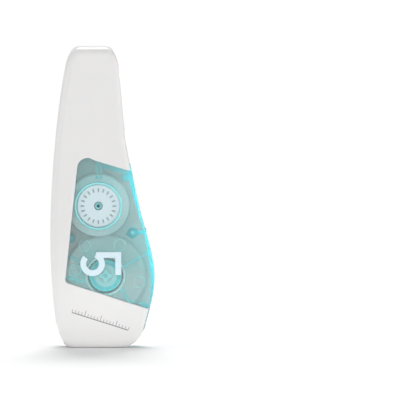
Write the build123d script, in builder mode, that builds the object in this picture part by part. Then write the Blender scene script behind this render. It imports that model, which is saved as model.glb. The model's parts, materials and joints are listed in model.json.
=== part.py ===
"""Mini correction tape roller: a white C-shaped cover stands on its base, and a see-through case with
two geared reels swings out of the cover's open side on a pivot in the foot.

Frame, in millimetres: +Z runs from the flat base to the cap, +X to the open side of the cover, and
-Y to the front face. The origin is the middle of the base.
"""
import os
from math import asin, atan, atan2, cos, degrees, hypot, pi, radians, sin, tan

from build123d import *

# ---------------------------------------------------------------- driving dimensions
LENGTH = 91.9            # base to top of the cap
COVER_HALF = 7.25        # half the cover's thickness
COVER_WALL = 1.2
COVER_ROUND = 2.4        # rounding of the cover's long edges
CAP_HALF = 5.9           # half the cover's thickness at the top
TAPER_START = 56.0       # where the faces begin to lean in
TAPER_END = 70.0

PIVOT = (8.0, 8.0)       # X, Z of the pivot that the case swings on
PIN_RADIUS = 1.8
PIN_TIP = 3.95           # the pins reach in to this distance from the middle
BOSS_RADIUS = 2.65
TAIL_RADIUS = 5.3        # rounding of the case about the pivot
SHOULDER_SLOPE = 0.303   # fall of the case's top edge towards the open side
SIDE_OPENING_TOP = 62.8  # the open side is full width up to here
SLOT_TOP = 88.6          # and narrows to a slot from there to here
SLOT_HALF = 5.0
STOP_ANGLE = -88.5       # direction from the pivot to the end of the foot, where the case stops

CASE_HALF = 5.75         # half the case's thickness
CASE_WALL = 1.0
CASE_GAP = 0.3           # between the case and the cover's walls
CASE_ROUND = 0.8
NOSE_HALF = 4.0
NOSE_WALL = 0.9
NOSE_TOP = 73.0

TAPE_WIDTH = 5.0
TAPE_THICK = 0.12
FULL_ROLL = 11.2         # radius of a full roll of tape
CORE_RADIUS = 6.7        # radius that the tape is wound on
DRUM_RADIUS = 8.0        # radius that the used film is wound on
FILM_RADIUS = 8.4

GEAR_MODULE = 0.4
SUPPLY_TEETH = 62
TAKE_UP_TEETH = 46
BACKLASH = 0.1           # taken off each tooth at the pitch circle
RATCHET_TEETH = 24
DIAL_SLOTS = 20
SLOT_DEPTH = 0.35

SUPPLY_AXIS = (1.0, 22.0)    # X, Z of the supply reel
REEL_LEAN = 5.8              # degrees that the line between the reels leans left

# layers, as Y of the back and front of each
GEAR = (4.45, 3.25)
BACK_FLANGE = (3.0, 2.6)
WIND = (2.5, -2.5)
FRONT_FLANGE = (-2.6, -3.1)
DIAL = (-4.4, -5.6)

FIT = 0.05               # radial clearance of a part that turns on a post
SUPPLY_POST = 1.3
SUPPLY_SLEEVE = 2.2      # outside of the drive gear's sleeve
SUPPLY_SHOULDER = -3.25  # Y where the supply post steps down to its stub
STUB_RADIUS = 0.65
SUPPLY_FLANGE = 12.05
SPIGOT_RADIUS = 6.1
CORE_BORE = 5.55
CLUTCH = (-1.2, -2.9)    # Y of the back and front of the clutch ring
TAKE_UP_POST = 1.1
TAKE_UP_HUB = 2.4
TAKE_UP_FLANGE = 9.45
DIAL_RADIUS = 6.4

# ---------------------------------------------------------------- derived sizes
CASE_INNER = CASE_HALF - CASE_WALL
COVER_INNER = COVER_HALF - COVER_WALL
SUPPLY_PITCH = GEAR_MODULE * SUPPLY_TEETH / 2
TAKE_UP_PITCH = GEAR_MODULE * TAKE_UP_TEETH / 2
REEL_SPACING = SUPPLY_PITCH + TAKE_UP_PITCH
TAKE_UP_AXIS = (
    SUPPLY_AXIS[0] - REEL_SPACING * sin(radians(REEL_LEAN)),
    SUPPLY_AXIS[1] + REEL_SPACING * cos(radians(REEL_LEAN)),
)

# bosses that join the halves of the case; the tape runs over the left one
LEFT_BOSS = (-9.5, 33.6)
RIGHT_BOSS = (9.3, 35.2)
TOP_BOSS = (7.2, 52.2)
LOW_BOSS = (12.7, 12.4)
BOSS_SIZES = {LEFT_BOSS: 1.4, RIGHT_BOSS: 1.7, TOP_BOSS: 1.2, LOW_BOSS: 1.2}
JOIN_PIN = 0.7

# inside of the front face
DIAL_OPENING = 6.6
RIM_RADIUS = 7.4
RIM_FRONT = -6.45
RIB_BACK = -3.5
RIB_WIDTH = 0.76
RIBS = [
    ((6.33, 24.7), (13.9, 29.2)),
    ((-7.0, 26.4), (-12.9, 30.1)),
    ((-5.6, 20.2), (-12.6, 22.0)),
    ((5.84, 17.9), (8.2, 14.2)),
    ((8.2, 14.2), (14.1, 13.4)),
    ((-1.65, 52.0), (-1.65, 57.4)),
    ((-0.35, 52.0), (-0.35, 57.0)),
]
TOP_RIB = ((-0.35, 56.0), (8.2, 53.4))   # just under the top of the window
TOP_RIB_WIDTH = 1.3
MOULD_MARKS = [(-5.35, 31.3), (5.35, 31.5), (-8.34, 23.7), (11.3, 20.2)]
NUMERAL_DEPTH = 0.25

# nose and applicator
GUIDE_RADIUS = 0.8
NOSE_GUIDE = (-8.6, 64.5)
LUG = (-6.4, 70.4)
LUG_RADIUS = 0.9
CHEEK_INNER = 2.6
CHEEK_THICK = 0.42
TIP_SEAM = 79.0
TONGUE_X = -5.2
TIP_CENTRE = (-4.7, 86.2)
TIP_RADIUS = 0.5
HEEL_CENTRE = (-3.1, 75.0)
HEEL_RADIUS = 0.4


def layer(y):
    """The X-Z sketch plane at that Y, where a positive extrusion runs to the front."""
    return Plane.XZ.offset(-y)


def disc(radius, back, front, centre=(0, 0)):
    """A round plate or post between two layers, seen face on from the front."""
    with BuildPart() as plate:
        with BuildSketch(layer(back)):
            with Locations(centre):
                Circle(radius)
        extrude(amount=back - front)
    return plate.part


def ring(outer, inner, back, front, centre=(0, 0)):
    """A flat ring between two layers."""
    with BuildPart() as plate:
        with BuildSketch(layer(back)):
            with Locations(centre):
                Circle(outer)
                Circle(inner, mode=Mode.SUBTRACT)
        extrude(amount=back - front)
    return plate.part


def bar(start, end, width, back, front):
    """A straight rib between two points, with round ends."""
    length = hypot(end[0] - start[0], end[1] - start[1])
    turn = degrees(atan2(end[1] - start[1], end[0] - start[0]))
    middle = ((start[0] + end[0]) / 2, (start[1] + end[1]) / 2)
    with BuildPart() as rib:
        with BuildSketch(layer(back)):
            with Locations(Location((middle[0], middle[1], 0), (0, 0, turn))):
                SlotCenterToCenter(length, width)
        extrude(amount=back - front)
    return rib.part


def gear_outline(teeth, start_angle):
    """A spur gear with straight flanks; one tooth points along the start angle."""
    pitch = GEAR_MODULE * teeth / 2
    half = (pi * GEAR_MODULE / 2 - BACKLASH) / 2
    slope = tan(radians(20))
    head, foot = GEAR_MODULE, 1.25 * GEAR_MODULE
    with BuildSketch() as outline:
        Circle(pitch - foot)
        with PolarLocations(pitch, teeth, start_angle):
            Polygon(
                (-foot - 0.08, -half - foot * slope),
                (head, -half + head * slope),
                (head, half - head * slope),
                (-foot - 0.08, half + foot * slope),
                align=None,
            )
    return outline.sketch


def ribbon_stops(stops):
    """Where a ribbon meets and leaves each circle; a circle is centre and radius, with the radius
    counted positive when the ribbon keeps it on its right."""
    touches = []
    for (start, first), (end, second) in zip(stops, stops[1:]):
        reach = hypot(end[0] - start[0], end[1] - start[1])
        heading = atan2(end[1] - start[1], end[0] - start[0]) - asin((first - second) / reach)
        side = (-sin(heading), cos(heading))
        touches.append((
            (start[0] + first * side[0], start[1] + first * side[1]),
            (end[0] + second * side[0], end[1] + second * side[1]),
        ))
    return touches


def bend(stop, meet, leave):
    """The arc of a ribbon round one circle."""
    (x, z), radius = stop
    out = (meet[0] + leave[0] - 2 * x, meet[1] + leave[1] - 2 * z)
    scale = abs(radius) / hypot(out[0], out[1])
    ThreePointArc(meet, (x + out[0] * scale, z + out[1] * scale), leave)


def ribbon(stops):
    """A strip of tape drawn tight over the stops, from the first circle to the last."""
    touches = ribbon_stops(stops)
    with BuildPart() as strip:
        with BuildSketch(layer(WIND[0])):
            with BuildLine():
                for index, (leave, meet) in enumerate(touches):
                    Line(leave, meet)
                    if index + 1 < len(touches):
                        bend(stops[index + 1], meet, touches[index + 1][0])
            trace(line_width=TAPE_THICK)
        extrude(amount=WIND[0] - WIND[1])
    return strip.part


# ---------------------------------------------------------------- outlines
# each is drawn flat, with X across and Z up the sheet
with BuildSketch() as body_outline:
    with BuildLine() as outline_curves:
        Line((-8.0, 0), (3.0, 0))
        Spline([(3.0, 0), (9.6, 1.1), (13.0, 6.2)], tangents=[(1, 0), (0.25, 1)])
        Spline(
            [(13.0, 6.2), (16.0, 21.0), (12.0, 40.6), (8.0, 59.6), (5.3, 85.6)],
            tangents=[(0.25, 1), (-0.07, 1)],
        )
        Spline([(5.3, 85.6), (3.7, 90.1), (0.8, LENGTH)], tangents=[(-0.07, 1), (-1, 0)])
        Line((0.8, LENGTH), (-6.6, LENGTH))
        Spline([(-6.6, LENGTH), (-9.6, 90.2), (-11.3, 85.6)], tangents=[(-1, 0), (-0.2, -1)])
        Spline(
            [(-11.3, 85.6), (-14.7, 59.6), (-15.9, 34.0), (-14.0, 7.0)],
            tangents=[(-0.2, -1), (0.15, -1)],
        )
        Spline([(-14.0, 7.0), (-12.2, 1.9), (-8.0, 0)], tangents=[(0.15, -1), (1, 0)])
    make_face()


def moved_in(curve, share, amount):
    """The point at that share of a curve, moved to the curve's left."""
    point = curve.position_at(share)
    heading = curve.tangent_at(share)
    return (point.X - amount * heading.Y, point.Y + amount * heading.X)


def drawn_in(amount):
    """The cover's outline moved inwards by a wall's thickness."""
    with BuildSketch() as inner:
        with BuildLine():
            for curve in outline_curves.edges():
                if curve.geom_type == GeomType.LINE:
                    Line(moved_in(curve, 0, amount), moved_in(curve, 1, amount))
                else:
                    points = [moved_in(curve, step / 8, amount) for step in range(9)]
                    Spline(points, tangents=[curve.tangent_at(0), curve.tangent_at(1)])
        make_face()
    return inner.sketch


def side_profile(inset):
    """The cover seen from the side: straight flanks that lean in towards the top."""
    half = COVER_HALF - inset
    middle = (TAPER_START + TAPER_END) / 2
    run = (TAPER_END - TAPER_START) / 2
    lean = atan((COVER_HALF - CAP_HALF) / (LENGTH - middle))
    top = LENGTH + 5
    bend_end = (half - run * sin(lean), middle + run * cos(lean))
    top_half = half - (top - middle) * tan(lean)
    with BuildSketch() as profile:
        with BuildLine():
            Line((0, -1), (half, -1))
            flank = Line((half, -1), (half, TAPER_START))
            TangentArc([flank @ 1, bend_end], tangent=(0, 1))
            Line(bend_end, (top_half, top))
            Line((top_half, top), (0, top))
            mirror(about=Plane.YZ)
        make_face()
    return profile.sketch


# the window that the cover leaves open over the case
with BuildSketch() as window_outline:
    with BuildLine():
        Polyline((26.0, 8.19), (-11.35, 20.2), (-7.35, 58.25), (-3.9, 58.25), (-2.2, 57.45), (26.0, 48.96))
        Line((26.0, 48.96), (26.0, 8.19))
    make_face()
    fillet(window_outline.vertices().sort_by(Axis.X)[0], 1.2)
    corner = window_outline.vertices().filter_by_position(Axis.X, -8.0, -7.0)
    fillet(corner, 3.2)
    dip = window_outline.vertices().filter_by_position(Axis.X, -2.5, -1.9)
    fillet(dip, 2.2)

# the open side, between the two faces of the cover
with BuildSketch() as side_opening:
    with BuildLine():
        stop_end = (PIVOT[0] + 12 * cos(radians(STOP_ANGLE)), PIVOT[1] + 12 * sin(radians(STOP_ANGLE)))
        Polyline(
            (26, SIDE_OPENING_TOP), (2, SIDE_OPENING_TOP), PIVOT, stop_end, (26, stop_end[1]),
            (26, SIDE_OPENING_TOP),
        )
    make_face()


def case_region(inset):
    """The case: inside the cover's walls on the left, level with the cover's outline on the right."""
    with BuildSketch() as region:
        add(drawn_in(COVER_WALL + CASE_GAP + inset))
        with Locations((13, 30)):
            Rectangle(26, 60)
        add(drawn_in(inset) if inset else body_outline.sketch, mode=Mode.INTERSECT)
        drop = inset * hypot(1, SHOULDER_SLOPE)
        edge_x = -3.4 - inset * 0.15
        with BuildLine():
            Polyline(
                (-30, 100), (-30, 59.3 - inset), (edge_x, 59.3 - inset),
                (26, 59.3 - drop - SHOULDER_SLOPE * 29.4), (26, 100), (-30, 100),
            )
        make_face(mode=Mode.SUBTRACT)
        with BuildSketch(mode=Mode.INTERSECT):
            with Locations(SUPPLY_AXIS):
                Circle(15.3 - inset)
            with Locations(PIVOT):
                Circle(TAIL_RADIUS - inset)
            with Locations((0, SUPPLY_AXIS[1] + 40)):
                Rectangle(60, 80)
            with Locations(((SUPPLY_AXIS[0] + 30) / 2, (PIVOT[1] + SUPPLY_AXIS[1]) / 2)):
                Rectangle(30 - SUPPLY_AXIS[0], SUPPLY_AXIS[1] - PIVOT[1])
        top_left = region.vertices().filter_by_position(Axis.X, -14, -11)
        fillet(top_left.sort_by(Axis.Y)[-1], 3.5 - inset)
    return region.sketch


# the numeral for the tape width, read with the roller lying on its open side
with BuildSketch() as numeral:
    with Locations((-2.95, 25.8)):
        Circle(3.75)
        Circle(1.95, mode=Mode.SUBTRACT)
        Polygon((0, 0), (8 * cos(radians(72)), 8 * sin(radians(72))),
                (8 * cos(radians(138)), 8 * sin(radians(138))), align=None, mode=Mode.SUBTRACT)
    with Locations((4.9, 25.9)):
        Rectangle(1.8, 7.0)
    with Locations(((-1.75 + 5.8) / 2, 28.5)):
        Rectangle(7.55, 1.8)


# ---------------------------------------------------------------- cover: two half shells
with BuildPart() as cover_blank:
    with BuildSketch(Plane.XZ):
        add(body_outline.sketch)
    extrude(amount=COVER_HALF, both=True)
    with BuildSketch(Plane.YZ):
        add(side_profile(0))
    extrude(amount=30, both=True, mode=Mode.INTERSECT)
    rim = [
        edge for edge in cover_blank.edges()
        if abs((edge @ 0.5).Y) > 5.5
        and not (abs((edge @ 0).Z - (edge @ 1).Z) < 0.01 and 50 < (edge @ 0).Z < 80)
    ]
    fillet(rim, COVER_ROUND)



def cover_inside(depth):
    """The solid that lies that far under the cover's surface."""
    with BuildPart() as inside:
        with BuildSketch(Plane.XZ):
            add(drawn_in(depth))
        extrude(amount=COVER_HALF - depth, both=True)
        with BuildSketch(Plane.YZ):
            add(side_profile(depth))
        extrude(amount=30, both=True, mode=Mode.INTERSECT)
    return inside.part


cover_hollow = cover_inside(COVER_WALL)
mid_wall = cover_inside(COVER_WALL / 2)

with BuildPart() as cover_body:
    add(cover_blank.part)
    add(cover_hollow, mode=Mode.SUBTRACT)
    with BuildSketch(Plane.XZ):
        add(window_outline.sketch)
    extrude(amount=10, mode=Mode.SUBTRACT)
    with BuildSketch(Plane.XZ):
        add(side_opening.sketch)
    extrude(amount=COVER_INNER, both=True, mode=Mode.SUBTRACT)
    with Locations((15, 0, (SIDE_OPENING_TOP + SLOT_TOP) / 2)):
        Box(30, 2 * SLOT_HALF, SLOT_TOP - SIDE_OPENING_TOP, mode=Mode.SUBTRACT)
    window_rim = [
        edge for edge in cover_body.edges()
        if abs((edge @ 0.5).Y + COVER_HALF) < 0.15
        and 9 < (edge @ 0.5).Z < 59
        and (edge @ 0.5).X > -12
        and abs((edge @ 0).Z - (edge @ 1).Z) > 0.2
    ]
    fillet(window_rim, 0.3)

COVER_JOINS = [(-9.4, 5.4), (-10.3, 76.5), (-7.4, 88.7)]
PLATE_ROOT = COVER_INNER + 0.3


def cover_shell(side):
    """One half of the cover; side is -1 for the front half and 1 for the back half."""
    with BuildPart() as shell:
        with BuildSketch(layer(0)):
            with Locations(COVER_JOINS):
                Circle(1.6)
        extrude(amount=-side * COVER_HALF)
        add(mid_wall, mode=Mode.INTERSECT)
        with BuildPart() as half_shell:
            add(cover_body.part)
            with Locations((0, side * 20, 40)):
                Box(100, 40, 200, mode=Mode.INTERSECT)
        with BuildSketch(layer(side * PLATE_ROOT)):
            with Locations(PIVOT):
                Circle(PIN_RADIUS + 0.9)
        extrude(amount=side * (PLATE_ROOT - CASE_HALF - 0.12))
        with BuildSketch(layer(side * PLATE_ROOT)):
            with Locations(PIVOT):
                Circle(PIN_RADIUS)
        extrude(amount=side * (PLATE_ROOT - PIN_TIP))
        tip = shell.edges().filter_by_position(Axis.Y, side * PIN_TIP - 0.01, side * PIN_TIP + 0.01)
        fillet(tip, 0.4)
    return shell.part


with BuildPart() as cover_front_shell:
    add(cover_shell(-1))
    with BuildSketch(layer(0)):
        with Locations(COVER_JOINS):
            Circle(0.8)
    extrude(amount=3.2, mode=Mode.SUBTRACT)

with BuildPart() as cover_back_shell:
    add(cover_shell(1))
    with BuildSketch(layer(1.0)):
        with Locations(COVER_JOINS):
            Circle(0.8)
    extrude(amount=1.0 + 2.8)


# ---------------------------------------------------------------- case: two half shells
with BuildSketch() as nose_outline:
    Polygon((-13.0, 52), (-12.6, 62), (-9.1, NOSE_TOP), (-1.2, NOSE_TOP), (1.8, 55.5), (1.8, 52), align=None)
    fillet(nose_outline.vertices().filter_by_position(Axis.X, -12.7, -12.5), 6)

with BuildPart() as case_blank:
    with BuildSketch(Plane.XZ):
        add(case_region(0))
    extrude(amount=CASE_HALF, both=True)
    face_edges = [edge for edge in case_blank.edges() if abs((edge @ 0.5).Y) > CASE_HALF - 0.01]
    fillet(face_edges, CASE_ROUND)
    with BuildSketch(Plane.XZ):
        add(nose_outline.sketch)
    extrude(amount=NOSE_HALF, both=True)

with BuildPart() as case_hollow:
    with BuildSketch(Plane.XZ):
        add(case_region(CASE_WALL))
    extrude(amount=CASE_INNER, both=True)
    with BuildSketch(Plane.XZ):
        with BuildSketch():
            add(nose_outline.sketch)
            offset(amount=-NOSE_WALL)
        with Locations(((-9.1 - 1.2) / 2, NOSE_TOP)):
            Rectangle(9.1 - 1.2 - 2.1 * NOSE_WALL, 4)
    extrude(amount=NOSE_HALF - NOSE_WALL, both=True)

CASE_JOINS = [LEFT_BOSS, RIGHT_BOSS, TOP_BOSS, LOW_BOSS]
REACH = CASE_INNER + 0.2


def case_shell(side):
    """One half of the case with its joining bosses; side is -1 for the front and 1 for the back."""
    with BuildPart() as shell:
        add(case_blank.part)
        add(case_hollow.part, mode=Mode.SUBTRACT)
        with Locations((0, side * 20, 40)):
            Box(100, 40, 200, mode=Mode.INTERSECT)
        with BuildSketch(layer(0)):
            for spot in CASE_JOINS:
                with Locations(spot):
                    Circle(BOSS_SIZES[spot])
            with Locations(Location((11.4, 35.35, 0), (0, 0, 4))):
                Rectangle(4.2, 1.1)
            Polygon((7.0, 34.7), (9.0, 33.6), (9.0, 36.85), align=None)
        extrude(amount=-side * REACH)
        with BuildSketch(layer(0)):
            with Locations(NOSE_GUIDE):
                Circle(GUIDE_RADIUS)
        extrude(amount=-side * (NOSE_HALF - NOSE_WALL + 0.2))
        with BuildSketch(layer(side * REACH)):
            with Locations(PIVOT):
                Circle(BOSS_RADIUS)
        extrude(amount=side * (REACH - PIN_TIP + 0.2))
        with BuildSketch(layer(side * 10)):
            with Locations(PIVOT):
                Circle(PIN_RADIUS + FIT)
        extrude(amount=side * (10 - PIN_TIP + 0.2), mode=Mode.SUBTRACT)
        with BuildSketch(layer(side * 10)):
            with Locations(LUG):
                Circle(LUG_RADIUS)
        extrude(amount=side * (10 - NOSE_HALF + NOSE_WALL), mode=Mode.SUBTRACT)
    return shell.part


with BuildPart() as case_front_shell:
    add(case_shell(-1))
    # bores for the joining pins of the back half
    with BuildSketch(layer(0)):
        with Locations(CASE_JOINS):
            Circle(JOIN_PIN)
    extrude(amount=2.8, mode=Mode.SUBTRACT)
    # round opening for the dial, with a raised rim
    add(disc(DIAL_OPENING, 0, -10, TAKE_UP_AXIS), mode=Mode.SUBTRACT)
    add(ring(RIM_RADIUS, DIAL_OPENING, -CASE_INNER, RIM_FRONT, TAKE_UP_AXIS))
    rim_top = case_front_shell.edges().filter_by_position(Axis.Y, RIM_FRONT - 0.01, RIM_FRONT + 0.01)
    fillet(rim_top, 0.3)
    # ribs on the inside of the face
    with BuildSketch(layer(RIB_BACK)):
        with Locations(SUPPLY_AXIS):
            Circle(13.1)
        with Locations(TAKE_UP_AXIS):
            Circle(9.9)
        with Locations(SUPPLY_AXIS):
            Circle(12.5, mode=Mode.SUBTRACT)
        with Locations(TAKE_UP_AXIS):
            Circle(9.3, mode=Mode.SUBTRACT)
    extrude(amount=RIB_BACK + REACH)
    for start, end in RIBS:
        add(bar(start, end, RIB_WIDTH, RIB_BACK, -REACH))
    add(bar(*TOP_RIB, TOP_RIB_WIDTH, RIB_BACK, -REACH))
    # shallow moulding marks
    with BuildSketch(layer(-CASE_INNER)):
        with Locations(MOULD_MARKS):
            Circle(1.85)
            Circle(1.55, mode=Mode.SUBTRACT)
    extrude(amount=0.25, mode=Mode.SUBTRACT)
    # pocket for the numeral
    with BuildSketch(layer(-CASE_HALF + NUMERAL_DEPTH)):
        add(numeral.sketch)
    extrude(amount=2, mode=Mode.SUBTRACT)

with BuildPart() as case_back_shell:
    add(case_shell(1))
    with BuildSketch(layer(1.0)):
        with Locations(CASE_JOINS):
            Circle(JOIN_PIN)
    extrude(amount=1.0 + 2.5)
    # posts for the reels, each on a low collar
    add(disc(SUPPLY_POST + 1.2, REACH, GEAR[0] + 0.1, SUPPLY_AXIS))
    add(disc(SUPPLY_POST, REACH, SUPPLY_SHOULDER, SUPPLY_AXIS))
    add(disc(STUB_RADIUS, SUPPLY_SHOULDER + 0.1, SUPPLY_SHOULDER - 0.8, SUPPLY_AXIS))
    add(disc(TAKE_UP_POST + 1.2, REACH, GEAR[0] + 0.1, TAKE_UP_AXIS))
    add(disc(TAKE_UP_POST, REACH, DIAL[1] + 0.3, TAKE_UP_AXIS))
    add(disc(0.5, 0, -10, TAKE_UP_AXIS), mode=Mode.SUBTRACT)

with BuildPart() as numeral_five:
    with BuildSketch(layer(-CASE_HALF + NUMERAL_DEPTH)):
        add(numeral.sketch)
    extrude(amount=NUMERAL_DEPTH + 0.12)

# ---------------------------------------------------------------- applicator
with BuildSketch() as wedge:
    with BuildSketch():
        for centre, radius in ((TIP_CENTRE, TIP_RADIUS), (HEEL_CENTRE, HEEL_RADIUS), ((-6.9, 74.8), 0.4),
                               ((-6.4, 70.2), 0.8)):
            with Locations(centre):
                Circle(radius)
        make_hull()

with BuildPart() as applicator_holder:
    with BuildSketch(Plane.XZ):
        add(wedge.sketch)
        with Locations((0, TIP_SEAM + 20)):
            Rectangle(60, 40, mode=Mode.SUBTRACT)
    extrude(amount=CHEEK_INNER, both=True)
    # the tongue that the tip is moulded over
    with BuildSketch(Plane.XZ):
        with Locations((TONGUE_X, TIP_SEAM)):
            SlotOverall(3.6, 1.0, rotation=97)
    extrude(amount=1.8, both=True)
    # a cheek on each side keeps the tape on the wedge
    for side in (-1, 1):
        with BuildSketch(layer(side * CHEEK_INNER)):
            for centre, radius in (((-7.6, 70.3), 0.9), ((-3.4, 70.3), 1.0), ((-5.0, 82.4), 1.0)):
                with Locations(centre):
                    Circle(radius)
            make_hull()
        extrude(amount=-side * CHEEK_THICK)
        with BuildSketch(layer(side * (CHEEK_INNER + CHEEK_THICK / 2))):
            with Locations(LUG):
                Circle(LUG_RADIUS)
        extrude(amount=-side * (NOSE_HALF - CHEEK_INNER - CHEEK_THICK / 2))

with BuildPart() as applicator_tip:
    with BuildSketch(Plane.XZ):
        add(wedge.sketch)
        with Locations((0, TIP_SEAM - 20)):
            Rectangle(60, 40, mode=Mode.SUBTRACT)
    extrude(amount=CHEEK_INNER - 0.02, both=True)
    with BuildSketch(Plane.XZ):
        with Locations((TONGUE_X, TIP_SEAM)):
            SlotOverall(3.6, 1.0, rotation=97)
    extrude(amount=1.8, both=True, mode=Mode.SUBTRACT)

# ---------------------------------------------------------------- tape and film
skim = TAPE_THICK / 2 + 0.01
with BuildPart() as tape_run:
    add(ribbon([
        (SUPPLY_AXIS, FULL_ROLL + skim + 0.05),
        (LEFT_BOSS, BOSS_SIZES[LEFT_BOSS] + skim),
        (NOSE_GUIDE, GUIDE_RADIUS + skim),
        (TIP_CENTRE, TIP_RADIUS + skim),
        (HEEL_CENTRE, HEEL_RADIUS + skim),
    ]))

with BuildPart() as film_run:
    add(ribbon([
        (HEEL_CENTRE, HEEL_RADIUS + skim),
        (TAKE_UP_AXIS, -(FILM_RADIUS + skim + 0.05)),
    ]))

# ---------------------------------------------------------------- supply reel
with BuildPart() as supply_gear:
    with BuildSketch(layer(GEAR[0])):
        with Locations(SUPPLY_AXIS):
            add(gear_outline(SUPPLY_TEETH, 90 + REEL_LEAN))
    extrude(amount=GEAR[0] - GEAR[1])
    add(disc(SUPPLY_SLEEVE, GEAR[1] + 0.1, SUPPLY_SHOULDER + 0.15, SUPPLY_AXIS))
    add(disc(SUPPLY_POST + FIT, 10, -10, SUPPLY_AXIS), mode=Mode.SUBTRACT)
    with BuildSketch(layer(GEAR[0])):
        with Locations(SUPPLY_AXIS):
            with PolarLocations(8.4, 6):
                Circle(1.9)
    extrude(amount=GEAR[0] - GEAR[1], mode=Mode.SUBTRACT)

with BuildSketch() as pawl_arm:
    with BuildLine():
        outer = CenterArc((0, 0), 4.75, 0, 82)
        inner = CenterArc((0, 0), 4.3, 0, 82)
        Line(outer @ 0, inner @ 0)
        Line(outer @ 1, inner @ 1)
    make_face()
    with Locations((3.95, 0.3)):
        Rectangle(1.4, 0.6)
    with Locations((4.72 * cos(radians(79)), 4.72 * sin(radians(79)))):
        Circle(0.26)

with BuildPart() as clutch_ring:
    add(ring(5.0, SUPPLY_SLEEVE, CLUTCH[0] + 0.5, CLUTCH[0], SUPPLY_AXIS))
    add(ring(3.4, SUPPLY_SLEEVE, CLUTCH[0] + 0.1, CLUTCH[1], SUPPLY_AXIS))
    with BuildSketch(layer(CLUTCH[0])):
        with Locations(SUPPLY_AXIS):
            with PolarLocations(0, 3, 20):
                add(pawl_arm.sketch)
    extrude(amount=CLUTCH[0] - CLUTCH[1])

with BuildPart() as clutch_washer:
    add(ring(3.5, SUPPLY_SLEEVE, CLUTCH[1], CLUTCH[1] - 0.2, SUPPLY_AXIS))

with BuildPart() as supply_core:
    add(ring(CORE_RADIUS, CORE_BORE, BACK_FLANGE[1], FRONT_FLANGE[0], SUPPLY_AXIS))
    add(ring(SPIGOT_RADIUS, CORE_BORE, BACK_FLANGE[0], FRONT_FLANGE[1], SUPPLY_AXIS))
    add(ring(CORE_BORE + 0.2, SUPPLY_SLEEVE + FIT, BACK_FLANGE[0], 2.0, SUPPLY_AXIS))
    with BuildSketch(layer(CLUTCH[0] + 0.4)):
        with Locations(SUPPLY_AXIS):
            with PolarLocations(CORE_BORE, RATCHET_TEETH):
                Polygon((0.2, -0.42), (-0.45, -0.3), (-0.45, -0.1), (0.2, 0.42), align=None)
    extrude(amount=CLUTCH[0] + 0.4 - FRONT_FLANGE[1])

with BuildPart() as supply_back_flange:
    add(ring(SUPPLY_FLANGE, SPIGOT_RADIUS, BACK_FLANGE[0], BACK_FLANGE[1], SUPPLY_AXIS))

with BuildPart() as supply_front_flange:
    add(ring(SUPPLY_FLANGE, SPIGOT_RADIUS, FRONT_FLANGE[0], FRONT_FLANGE[1], SUPPLY_AXIS))

with BuildPart() as tape_roll:
    add(ring(FULL_ROLL, CORE_RADIUS, WIND[0], WIND[1], SUPPLY_AXIS))

with BuildPart() as supply_hub_clip:
    with BuildSketch(layer(SUPPLY_SHOULDER)):
        with Locations(SUPPLY_AXIS):
            Circle(1.25)
            Rectangle(3.9, 1.15)
            Rectangle(1.15, 3.9)
            Circle(STUB_RADIUS, mode=Mode.SUBTRACT)
    extrude(amount=0.6)

# ---------------------------------------------------------------- take-up reel
with BuildPart() as take_up_gear:
    with BuildSketch(layer(GEAR[0])):
        with Locations(TAKE_UP_AXIS):
            add(gear_outline(TAKE_UP_TEETH, 270 + REEL_LEAN + 180 / TAKE_UP_TEETH))
    extrude(amount=GEAR[0] - GEAR[1])
    add(disc(TAKE_UP_HUB, GEAR[1] + 0.1, 1.0, TAKE_UP_AXIS))
    add(disc(TAKE_UP_POST + FIT, 10, -10, TAKE_UP_AXIS), mode=Mode.SUBTRACT)

with BuildPart() as take_up_drum:
    add(ring(TAKE_UP_FLANGE, TAKE_UP_HUB, BACK_FLANGE[0], BACK_FLANGE[1], TAKE_UP_AXIS))
    add(ring(DRUM_RADIUS, DRUM_RADIUS - 0.8, BACK_FLANGE[1] + 0.1, FRONT_FLANGE[0], TAKE_UP_AXIS))
    add(ring(TAKE_UP_HUB + 0.8, TAKE_UP_HUB, BACK_FLANGE[1] + 0.1, 1.2, TAKE_UP_AXIS))

with BuildPart() as take_up_front_flange:
    add(ring(TAKE_UP_FLANGE, TAKE_UP_POST + FIT, FRONT_FLANGE[0], FRONT_FLANGE[1], TAKE_UP_AXIS))
    add(ring(DRUM_RADIUS - 0.8, DRUM_RADIUS - 1.5, FRONT_FLANGE[0] + 0.9, FRONT_FLANGE[0], TAKE_UP_AXIS))

with BuildPart() as take_up_dial:
    add(ring(DIAL_RADIUS, TAKE_UP_POST + 0.2, DIAL[0], DIAL[1], TAKE_UP_AXIS))
    add(ring(3.2, TAKE_UP_POST + 0.2, FRONT_FLANGE[1], DIAL[0] - 0.1, TAKE_UP_AXIS))
    with BuildSketch(layer(DIAL[1] + SLOT_DEPTH)):
        with Locations(TAKE_UP_AXIS):
            with PolarLocations(4.9, DIAL_SLOTS):
                SlotOverall(1.25, 0.5)
    extrude(amount=SLOT_DEPTH, mode=Mode.SUBTRACT)

with BuildPart() as wound_film:
    add(ring(FILM_RADIUS, DRUM_RADIUS, WIND[0], WIND[1], TAKE_UP_AXIS))

# ---------------------------------------------------------------- hand over
PIECES = {
    "cover_front_shell": cover_front_shell,
    "cover_back_shell": cover_back_shell,
    "case_front_shell": case_front_shell,
    "case_back_shell": case_back_shell,
    "numeral_five": numeral_five,
    "applicator_holder": applicator_holder,
    "applicator_tip": applicator_tip,
    "tape_run": tape_run,
    "film_run": film_run,
    "supply_hub_clip": supply_hub_clip,
    "supply_gear": supply_gear,
    "clutch_ring": clutch_ring,
    "clutch_washer": clutch_washer,
    "supply_core": supply_core,
    "supply_back_flange": supply_back_flange,
    "supply_front_flange": supply_front_flange,
    "tape_roll": tape_roll,
    "take_up_gear": take_up_gear,
    "take_up_drum": take_up_drum,
    "take_up_front_flange": take_up_front_flange,
    "take_up_dial": take_up_dial,
    "wound_film": wound_film,
}

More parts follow.
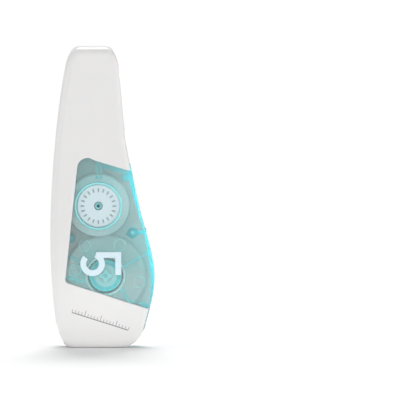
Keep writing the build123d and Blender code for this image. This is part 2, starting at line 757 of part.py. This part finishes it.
os.makedirs("parts", exist_ok=True)
for title, piece in PIECES.items():
    piece.part.label = title
    export_step(piece.part, "parts/" + title + ".step")
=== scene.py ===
import json
import math

import bpy
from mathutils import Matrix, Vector

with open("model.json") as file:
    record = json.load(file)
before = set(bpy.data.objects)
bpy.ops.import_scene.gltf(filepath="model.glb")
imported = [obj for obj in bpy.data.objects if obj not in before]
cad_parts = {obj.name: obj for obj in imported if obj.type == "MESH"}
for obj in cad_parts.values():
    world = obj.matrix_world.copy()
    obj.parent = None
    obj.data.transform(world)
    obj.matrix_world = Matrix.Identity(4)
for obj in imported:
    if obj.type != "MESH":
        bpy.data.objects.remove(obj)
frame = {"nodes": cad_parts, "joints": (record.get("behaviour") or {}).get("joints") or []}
nodes = frame["nodes"]
joints = {joint["name"]: joint for joint in frame["joints"]}
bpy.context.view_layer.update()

# ---------------------------------------------------------------- places, in metres
# a depth is counted from the middle of the case towards its front or back
SUPPLY = tuple(joints["supply_reel_spin"]["pos_m"])   # middle of each reel
TAKE_UP = tuple(joints["take_up_spin"]["pos_m"])
SLOT_BOTTOM = -0.00525         # Y of the bottoms of the dial's slots
CORE_BORE = 0.00545            # the core is toothed inside this radius
FACE_OUTSIDE = 0.00585         # the plates of the case lie between these depths
FACE_INSIDE = 0.0042
NOSE_BASE = 0.0590             # Z where the nose begins
RIB_TIP = 0.0035               # depth of the inner ends of the ribs
SUPPLY_ARC = 0.0128            # radius of the round rib about each reel
TAKE_UP_ARC = 0.0096
ARC_HALF = 0.00036             # half the thickness of a round rib
MARK_FLOOR = 0.0050            # depth of the moulding marks
EDGE = 0.0001                  # over which one tone turns into the next
TURN_PITCH = 0.00030           # between the turns that a wound strip shows

# the printed ruler mark, counted along and up from its centre
PRINT_CENTRE = (-0.0002, 0.0, 0.0098)
PRINT_TILT = math.radians(-17.6)
PRINT_DEPTH = (-0.0070, -0.0069)   # it fades out between these Y, so only the front has it
RULE_LEVEL = -0.0016
RULE_THICK_HALF = 0.00013
RULE_HALF = 0.0090
TICKS_HALF = 0.0091            # half the length that the ticks take up

# ---------------------------------------------------------------- floor, light and camera
FLOOR_SIZE = 6.0
SKY_ABOVE = 0.47               # strength of the world above the floor
SKY_BELOW = 1.0                # and below it
HORIZON = (-0.03, -0.02)       # height in which the one turns into the other
FOOT_LIGHT_PLACE = (0.0, -0.16, 0.006)
FOOT_LIGHT_CONE = math.radians(14.0)
VIEW_SCALE = 0.1222
VIEW_TILT = math.radians(4.0)
VIEW_DISTANCE = 0.6
AIM = Vector((0.02987, 0.0, 0.04493))


# ---------------------------------------------------------------- shader helpers
class Nodes:
    """A short way to write a material's nodes."""

    def __init__(self, name):
        self.material = bpy.data.materials.new(name)
        self.material.use_nodes = True
        self.tree = self.material.node_tree
        self.shader = self.tree.nodes["Principled BSDF"]
        self.output = self.tree.nodes["Material Output"]
        place = self.tree.nodes.new("ShaderNodeTexCoord")
        self.where = place.outputs["Object"]
        self.facing = place.outputs["Normal"]

    def node(self, kind, **settings):
        made = self.tree.nodes.new(kind)
        for key, value in settings.items():
            setattr(made, key, value)
        return made

    def join(self, source, target):
        self.tree.links.new(source, target)

    def set(self, **values):
        for key, value in values.items():
            self.shader.inputs[key.replace("_", " ")].default_value = value

    def math(self, operation, first, second=0.0, clamp=False):
        made = self.node("ShaderNodeMath", operation=operation, use_clamp=clamp)
        for index, value in enumerate((first, second)):
            if isinstance(value, (int, float)):
                made.inputs[index].default_value = value
            else:
                self.join(value, made.inputs[index])
        return made.outputs[0]

    def noise(self, scale, detail=3.0):
        made = self.node("ShaderNodeTexNoise")
        made.inputs["Scale"].default_value = scale
        made.inputs["Detail"].default_value = detail
        self.join(self.where, made.inputs["Vector"])
        return made.outputs[0]

    def spread(self, value, low, high, start=0.3, end=0.7):
        """Map start to end onto low to high, and hold it at both ends."""
        made = self.node("ShaderNodeMapRange")
        made.inputs["From Min"].default_value = start
        made.inputs["From Max"].default_value = end
        made.inputs["To Min"].default_value = low
        made.inputs["To Max"].default_value = high
        self.join(value, made.inputs["Value"])
        return made.outputs[0]

    def within(self, value, middle, half, soft=0.00004):
        """1 where a value is within half of a middle, and 0 elsewhere, with a soft edge."""
        off = self.math("ABSOLUTE", self.math("SUBTRACT", value, middle))
        return self.spread(off, 1.0, 0.0, half - soft, half + soft)

    def blend(self, factor, first, second):
        """The first colour where the factor is 0, and the second where it is 1."""
        made = self.node("ShaderNodeMix", data_type="RGBA")
        self.join(factor, made.inputs[0])
        for index, value in ((6, first), (7, second)):
            if isinstance(value, tuple):
                made.inputs[index].default_value = value + (1.0,)
            else:
                self.join(value, made.inputs[index])
        return made.outputs[2]

    def paint(self, mask, colour):
        """Lay a colour over the base colour where a mask is 1."""
        base = self.shader.inputs["Base Color"].links[0].from_socket
        self.join(self.blend(mask, base, colour), self.shader.inputs["Base Color"])

    def bump(self, height, strength, distance=0.0001):
        made = self.node("ShaderNodeBump")
        made.inputs["Strength"].default_value = strength
        made.inputs["Distance"].default_value = distance
        self.join(height, made.inputs["Height"])
        self.join(made.outputs[0], self.shader.inputs["Normal"])

    def from_centre(self, centre):
        """Position counted from a centre, in metres, as X, Y, Z outputs."""
        moved = self.node("ShaderNodeVectorMath", operation="SUBTRACT")
        self.join(self.where, moved.inputs[0])
        moved.inputs[1].default_value = centre
        parts = self.node("ShaderNodeSeparateXYZ")
        self.join(moved.outputs[0], parts.inputs[0])
        return parts.outputs[0], parts.outputs[1], parts.outputs[2]

    def radius(self, centre):
        """Distance from an axis that runs front to back through a centre."""
        x, _, z = self.from_centre(centre)
        squares = self.math("ADD", self.math("MULTIPLY", x, x), self.math("MULTIPLY", z, z))
        return self.math("SQRT", squares)


def moulded(name, colour, rough=0.34, grain=0.06, tint=0.012, subsurface=0.0):
    """Moulded plastic: a fine grain, slightly uneven gloss and colour."""
    n = Nodes(name)
    cloud = n.noise(90.0, 3.0)
    darker = tuple(max(0.0, c - tint) for c in colour)
    n.join(n.blend(n.spread(cloud, 0.0, 1.0), darker, colour), n.shader.inputs["Base Color"])
    n.join(n.spread(n.noise(420.0, 4.0), rough - 0.05, rough + 0.06), n.shader.inputs["Roughness"])
    n.bump(n.noise(2600.0, 2.0), grain)
    n.set(Subsurface_Weight=subsurface, Subsurface_Scale=0.001)
    return n


def clear(name, face, end, wall_glow, rough, clarity, absorb=None, density=0.0, side=0):
    """See-through plastic in three tones: the front or back plate, the cloudy ends of ribs, posts
    and walls that are seen through it, and the walls' own sides. face, end and the third colour
    are their colours, and clarity is the share of light that each of the three lets through. The
    end tone and the tone of the walls' sides, where they are brighter than the plate, are painted
    glow: brighter, cloudier cyan that stands in for light led along ribs and walls seen edge-on.
    side is -1 for the front half of the case, 1 for the back half, and 0 for a plain piece, which
    has no ends."""
    n = Nodes(name)
    n.set(IOR=1.42, Coat_Weight=0.4, Coat_Roughness=0.03)
    parts = n.node("ShaderNodeSeparateXYZ")
    n.join(n.facing, parts.inputs[0])
    flat = n.spread(n.math("ABSOLUTE", parts.outputs[1]), 0.0, 1.0, 0.35, 0.85)
    uneven = n.spread(n.noise(160.0, 3.0), 0.0, 0.12)
    tinted = (0.80 * face[0], face[1], face[2])
    pale = n.blend(n.spread(n.noise(55.0, 2.0), 0.0, 1.0, 0.40, 0.62), tinted, face)
    colour, through = pale, clarity[0]
    if side:
        _, y, z = n.from_centre((0.0, 0.0, 0.0))
        depth = n.math("MULTIPLY", y, side)
        inside = n.spread(depth, 0.0, 1.0, FACE_INSIDE - EDGE, FACE_INSIDE)
        outside = n.spread(depth, 1.0, 0.0, FACE_OUTSIDE, FACE_OUTSIDE + EDGE)
        # the nose is thinner than the case, and all of it is plate
        nose = n.spread(z, 0.0, 1.0, NOSE_BASE, NOSE_BASE + 2 * EDGE)
        plate = n.math("MAXIMUM", n.math("MULTIPLY", inside, outside), nose)
        # the low round ribs about the reels show much less of the painted glow than the straight ones
        about_supply = n.within(n.radius(SUPPLY), SUPPLY_ARC, ARC_HALF)
        about_take_up = n.within(n.radius(TAKE_UP), TAKE_UP_ARC, ARC_HALF)
        arcs = n.math("MAXIMUM", about_supply, about_take_up)
        arcs = n.math("MULTIPLY", arcs, n.within(depth, RIB_TIP, EDGE))
        plate = n.math("MAXIMUM", plate, n.math("MULTIPLY", arcs, 0.85))
        # and the moulding marks show a little of it too, as faint painted light lines
        marks = n.math("MULTIPLY", n.within(depth, MARK_FLOOR, 0.00006), 0.75)
        plate = n.math("SUBTRACT", n.math("SUBTRACT", plate, marks), uneven, clamp=True)
        # the ends of ribs and posts and the moulding marks take the end colour: painted glow
        colour = n.blend(plate, end, pale)
        through = n.spread(plate, clarity[1], clarity[0], 0.0, 1.0)
    # the sides of walls, which face across rather than to the front or back, take the third colour:
    # painted glow
    n.join(n.blend(flat, wall_glow, colour), n.shader.inputs["Base Color"])
    # walls let clarity[2] through, whatever the plate does
    gain = n.math("MULTIPLY", flat, n.math("SUBTRACT", through, clarity[2]))
    n.join(n.math("ADD", gain, clarity[2]), n.shader.inputs["Transmission Weight"])
    n.join(n.spread(n.noise(260.0, 3.0), rough, rough + 0.04), n.shader.inputs["Roughness"])
    if absorb:
        volume = n.node("ShaderNodeVolumeAbsorption")
        volume.inputs["Color"].default_value = absorb + (1.0,)
        volume.inputs["Density"].default_value = density
        n.join(volume.outputs[0], n.output.inputs["Volume"])
    return n


def wound(name, colour, dark, centre, rough):
    """The side of a wound strip: many fine turns."""
    n = Nodes(name)
    turns = n.math("SINE", n.math("MULTIPLY", n.radius(centre), 2 * math.pi / TURN_PITCH))
    uneven = n.math("ADD", n.math("MULTIPLY", turns, 0.5), n.math("MULTIPLY", n.noise(700.0, 2.0), 0.9))
    n.join(n.blend(n.spread(uneven, 0.0, 1.0, -0.2, 1.1), dark, colour), n.shader.inputs["Base Color"])
    n.join(n.spread(n.noise(300.0), rough, rough + 0.1), n.shader.inputs["Roughness"])
    n.bump(turns, 0.25, 0.00004)
    return n


# ---------------------------------------------------------------- materials of the pieces
def cover_material(name, printed):
    """White plastic, with a plain ruler mark printed along the foot of the front."""
    n = moulded(name, (0.800, 0.795, 0.790), rough=0.33, grain=0.05, tint=0.01, subsurface=0.08)
    if not printed:
        return n
    x, y, z = n.from_centre(PRINT_CENTRE)
    cosine, sine = math.cos(PRINT_TILT), math.sin(PRINT_TILT)
    along = n.math("ADD", n.math("MULTIPLY", x, cosine), n.math("MULTIPLY", z, sine))
    up = n.math("SUBTRACT", n.math("MULTIPLY", z, cosine), n.math("MULTIPLY", x, sine))

    def ticks(shift, half_pitch, start, full, level, half_height):
        """A row of upright lines. A wave along the rule climbs to half the pitch and falls back. A
        line begins where the wave is past start, and has its full colour where it is past full."""
        wave = n.math("PINGPONG", n.math("ADD", along, shift), half_pitch)
        line = n.spread(wave, 0.0, 1.0, start, full)
        line = n.math("MULTIPLY", line, n.within(along, 0.0, TICKS_HALF))
        return n.math("MULTIPLY", line, n.within(up, level, half_height))

    rule = n.math(
        "MULTIPLY", n.within(along, 0.0, RULE_HALF), n.within(up, RULE_LEVEL, RULE_THICK_HALF)
    )
    short = ticks(
        shift=0.0305, half_pitch=0.0005, start=0.00040, full=0.00046, level=-0.0011, half_height=0.0005
    )
    tall = ticks(
        shift=0.0325, half_pitch=0.0025, start=0.00238, full=0.00246, level=-0.0007, half_height=0.0009
    )
    mark = n.math("MAXIMUM", rule, n.math("MAXIMUM", short, tall))
    front = n.spread(y, 1.0, 0.0, *PRINT_DEPTH)
    n.paint(n.math("MULTIPLY", mark, front, clamp=True), (0.17, 0.18, 0.19))
    return n


def dial_material():
    """Pale plastic; the bottoms of the shallow slots are painted darker, as painted shade in the slots.
    """
    n = moulded("dial", (0.66, 0.80, 0.84), rough=0.36)
    _, y, _ = n.from_centre((0.0, SLOT_BOTTOM, 0.0))
    low = n.spread(n.math("ABSOLUTE", y), 1.0, 0.0, 0.00005, 0.00015)
    # painted shade on the slot bottoms
    n.paint(low, (0.44, 0.53, 0.55))
    return n


def core_material():
    """Pale plastic; the ratchet teeth inside the ring are painted near-black, as painted shade between
    the teeth.
    """
    n = moulded("core", (0.72, 0.84, 0.84), rough=0.35)
    teeth = n.spread(n.radius(SUPPLY), 1.0, 0.0, CORE_BORE - EDGE, CORE_BORE)
    # painted shade: the teeth are the core's own pale plastic
    n.paint(teeth, (0.05, 0.13, 0.15))
    return n


def case_material(name, rough, side):
    """The clear blue plastic of the case, with painted glow in the colours of its rib ends and its
    walls' sides.
    """
    return clear(
        name, face=(0.95, 0.965, 0.96), end=(0.40, 0.97, 1.0), wall_glow=(0.62, 0.94, 0.96), rough=rough,
        clarity=(0.94, 0.38, 0.80), absorb=(0.12, 0.80, 0.86), density=110.0, side=side,
    )


FILM = (0.90, 0.93, 0.92)

finishes = {
    "cover_front_shell": cover_material("white shell, printed", True),
    "cover_back_shell": cover_material("white shell", False),
    "case_front_shell": case_material("clear blue front", 0.01, -1),
    "case_back_shell": case_material("clear blue back", 0.02, 1),
    "numeral_five": moulded("pale ink", (0.70, 0.85, 0.92), rough=0.4, grain=0.03),
    "applicator_holder": moulded("white holder", (0.78, 0.78, 0.77)),
    "applicator_tip": moulded("soft tip", (0.70, 0.74, 0.74), rough=0.5, subsurface=0.2),
    "tape_run": moulded("white tape", (0.80, 0.80, 0.77), rough=0.55, grain=0.1),
    "film_run": clear("clear film", FILM, None, FILM, 0.15, (0.8, None, 0.8)),
    "supply_hub_clip": moulded("clip", (0.50, 0.88, 0.90), rough=0.3),
    "supply_gear": moulded("grey gear", (0.50, 0.58, 0.58), rough=0.35),
    "clutch_ring": moulded("clutch", (0.06, 0.93, 0.98), rough=0.3),
    "clutch_washer": moulded("clutch washer", (0.55, 0.80, 0.81), rough=0.4),
    "supply_core": core_material(),
    "supply_back_flange": moulded("back flange", (0.46, 0.55, 0.55), rough=0.4),
    # its walls' sides are painted a cloudier cyan glow than its face
    "supply_front_flange": clear(
        "frosted flange", (0.74, 0.82, 0.82), None, (0.70, 0.88, 0.88), 0.22, (0.70, None, 0.30)
    ),
    "tape_roll": wound("wound tape", (0.72, 0.73, 0.70), (0.42, 0.46, 0.45), SUPPLY, 0.5),
    "take_up_gear": moulded("take-up gear", (0.60, 0.66, 0.66), rough=0.35),
    "take_up_drum": moulded("take-up drum", (0.66, 0.70, 0.70), rough=0.35),
    "take_up_front_flange": moulded("take-up flange", (0.70, 0.78, 0.78), rough=0.38),
    "take_up_dial": dial_material(),
    "wound_film": wound("wound film", (0.60, 0.64, 0.63), (0.36, 0.42, 0.42), TAKE_UP, 0.35),
}

for name, finish in finishes.items():
    piece = nodes[name]
    piece.data.materials.clear()
    piece.data.materials.append(finish.material)

# the clear pieces let the lamps through to the works behind them
for name in ("case_front_shell", "case_back_shell", "supply_front_flange", "film_run"):
    nodes[name].visible_shadow = False

# ---------------------------------------------------------------- stage
bpy.ops.mesh.primitive_plane_add(size=FLOOR_SIZE, location=(0, 0, 0))
floor = bpy.context.object
floor.name = "floor"
ground = Nodes("pale floor")
ground.set(
    Base_Color=(0.93, 0.93, 0.93, 1.0), Specular_IOR_Level=0.0,
    Emission_Color=(1.0, 1.0, 1.0, 1.0), Emission_Strength=0.02,
)
ground.join(ground.spread(ground.noise(3.0), 0.86, 0.92), ground.shader.inputs["Roughness"])
floor.data.materials.append(ground.material)

world = bpy.context.scene.world or bpy.data.worlds.new("World")
bpy.context.scene.world = world
world.use_nodes = True
sky = world.node_tree
sky.nodes["Background"].inputs["Color"].default_value = (1.0, 1.0, 1.0, 1.0)
# the half of the world below the floor is white, for a camera that looks in under the floor's edge
direction = sky.nodes.new("ShaderNodeTexCoord")
height = sky.nodes.new("ShaderNodeSeparateXYZ")
strength = sky.nodes.new("ShaderNodeMapRange")
sky.links.new(direction.outputs["Generated"], height.inputs[0])
sky.links.new(height.outputs[2], strength.inputs["Value"])
sky.links.new(strength.outputs[0], sky.nodes["Background"].inputs["Strength"])
strength.inputs["From Min"].default_value = HORIZON[0]
strength.inputs["From Max"].default_value = HORIZON[1]
strength.inputs["To Min"].default_value = SKY_BELOW
strength.inputs["To Max"].default_value = SKY_ABOVE


def soft_sun(name, azimuth, elevation, spread, strength):
    """A wide, even light. Azimuth 0 shines from the camera's side, 90 from the right."""
    light = bpy.data.lights.new(name, "SUN")
    light.angle = math.radians(spread)
    light.energy = strength
    holder = bpy.data.objects.new(name, light)
    bpy.context.scene.collection.objects.link(holder)
    turn, lift = math.radians(azimuth), math.radians(elevation)
    source = Vector((math.sin(turn) * math.cos(lift), -math.cos(turn) * math.cos(lift), math.sin(lift)))
    holder.rotation_euler = (-source).to_track_quat("-Z", "Y").to_euler()


soft_sun("back", 180.0, 51.0, 28.0, 1.95)
soft_sun("front", 0.0, 14.0, 50.0, 0.55)
soft_sun("left", -72.0, 12.0, 40.0, 0.5)
soft_sun("right", 72.0, 12.0, 40.0, 0.8)

# a small low spot that lights the foot of the cover, and doesn't show in the clear plate's gloss
foot = bpy.data.lights.new("foot", "SPOT")
foot.shadow_soft_size = 0.02
foot.spot_size = FOOT_LIGHT_CONE
foot.spot_blend = 1.0
foot.energy = 0.45
foot_light = bpy.data.objects.new("foot", foot)
bpy.context.scene.collection.objects.link(foot_light)
foot_light.location = FOOT_LIGHT_PLACE
foot_light.rotation_euler = (math.radians(90.0), 0.0, 0.0)
foot_light.visible_camera = False
foot_light.visible_glossy = False
foot_light.visible_transmission = False

camera_data = bpy.data.cameras.new("camera")
camera_data.type = "ORTHO"
camera_data.ortho_scale = VIEW_SCALE
camera = bpy.data.objects.new("camera", camera_data)
bpy.context.scene.collection.objects.link(camera)
camera.location = AIM + VIEW_DISTANCE * Vector((0.0, -math.cos(VIEW_TILT), math.sin(VIEW_TILT)))
camera.rotation_euler = (math.radians(90.0) - VIEW_TILT, 0.0, 0.0)
camera_data.clip_start = 0.01
camera_data.clip_end = 10.0
bpy.context.scene.camera = camera
bpy.context.scene.view_settings.view_transform = "Standard"
bpy.context.scene.cycles.use_denoising = True
